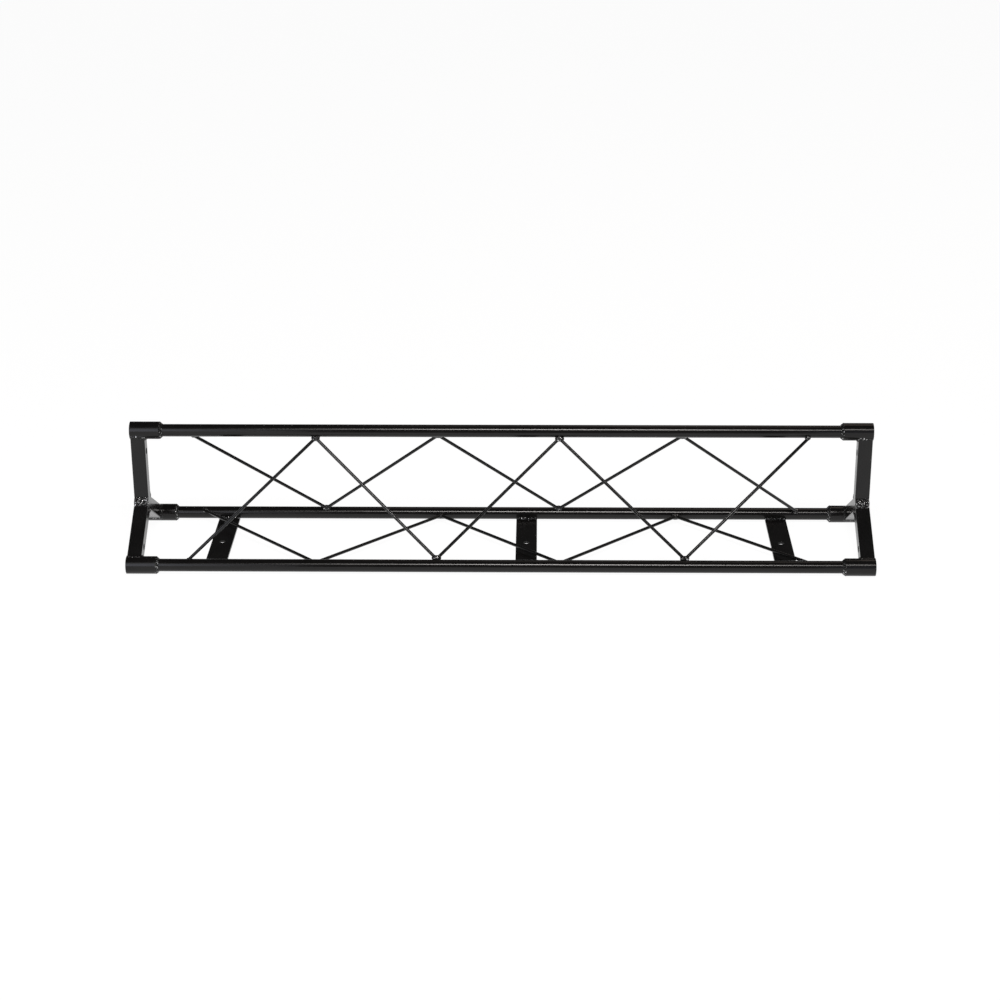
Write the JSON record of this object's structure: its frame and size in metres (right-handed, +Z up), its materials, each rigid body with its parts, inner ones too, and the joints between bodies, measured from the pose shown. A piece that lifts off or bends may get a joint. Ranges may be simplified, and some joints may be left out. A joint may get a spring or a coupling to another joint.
{
  "type": "lighting truss section",
  "caption": "Triangular lighting truss section: round steel chords, zigzag rod webs, Y-shaped square-tube end frames and drilled cross plates.",
  "frame": {"origin": "middle of the footprint, on the surface that the two lower chords' end sleeves stand on", "axes": "+X along the section, +Y to the rear chord, +Z up to the top chord"},
  "size_m": [1.5, 0.3096, 0.2729],
  "materials": {
    "chord_coat": "black powder coat, semi-gloss, fine orange peel",
    "sleeve_coat": "black powder coat, semi-gloss, fine orange peel",
    "arm_coat": "black powder coat, semi-gloss, smooth on the flats",
    "web_coat": "black powder coat on round rod, semi-gloss",
    "plate_coat": "black powder coat on flat bar, satin",
    "weld_coat": "black powder coat over rippled weld metal"
  },
  "bodies": {
    "root": {"chord_top": "chord_coat", "chord_front": "chord_coat", "chord_rear": "chord_coat", "sleeve_left_top": "sleeve_coat", "sleeve_left_front": "sleeve_coat", "sleeve_left_rear": "sleeve_coat", "sleeve_right_top": "sleeve_coat", "sleeve_right_front": "sleeve_coat", "sleeve_right_rear": "sleeve_coat", "arm_left_top": "arm_coat", "arm_left_front": "arm_coat", "arm_left_rear": "arm_coat", "arm_right_top": "arm_coat", "arm_right_front": "arm_coat", "arm_right_rear": "arm_coat", "web_front": "web_coat", "web_rear": "web_coat", "web_base": "web_coat", "plate_left": "plate_coat", "plate_middle": "plate_coat", "plate_right": "plate_coat", "weld_collar_left_top": "weld_coat", "weld_collar_left_front": "weld_coat", "weld_collar_left_rear": "weld_coat", "weld_collar_right_top": "weld_coat", "weld_collar_right_front": "weld_coat", "weld_collar_right_rear": "weld_coat", "weld_hub_left_front": "weld_coat", "weld_hub_left_rear": "weld_coat", "weld_hub_left_base": "weld_coat", "weld_hub_right_front": "weld_coat", "weld_hub_right_rear": "weld_coat", "weld_hub_right_base": "weld_coat", "weld_web_front_1": "weld_coat", "weld_web_front_2": "weld_coat", "weld_web_front_3": "weld_coat", "weld_web_front_4": "weld_coat", "weld_web_front_5": "weld_coat", "weld_web_front_6": "weld_coat", "weld_web_rear_1": "weld_coat", "weld_web_rear_2": "weld_coat", "weld_web_rear_3": "weld_coat", "weld_web_rear_4": "weld_coat", "weld_web_rear_5": "weld_coat", "weld_web_rear_6": "weld_coat", "weld_web_base_1": "weld_coat", "weld_web_base_2": "weld_coat", "weld_web_base_3": "weld_coat", "weld_web_base_4": "weld_coat", "weld_web_base_5": "weld_coat", "weld_web_base_6": "weld_coat", "weld_plate_left_rear": "weld_coat", "weld_plate_left_front": "weld_coat", "weld_plate_middle_rear": "weld_coat", "weld_plate_middle_front": "weld_coat", "weld_plate_right_rear": "weld_coat", "weld_plate_right_front": "weld_coat"}
  },
  "joints": []
}
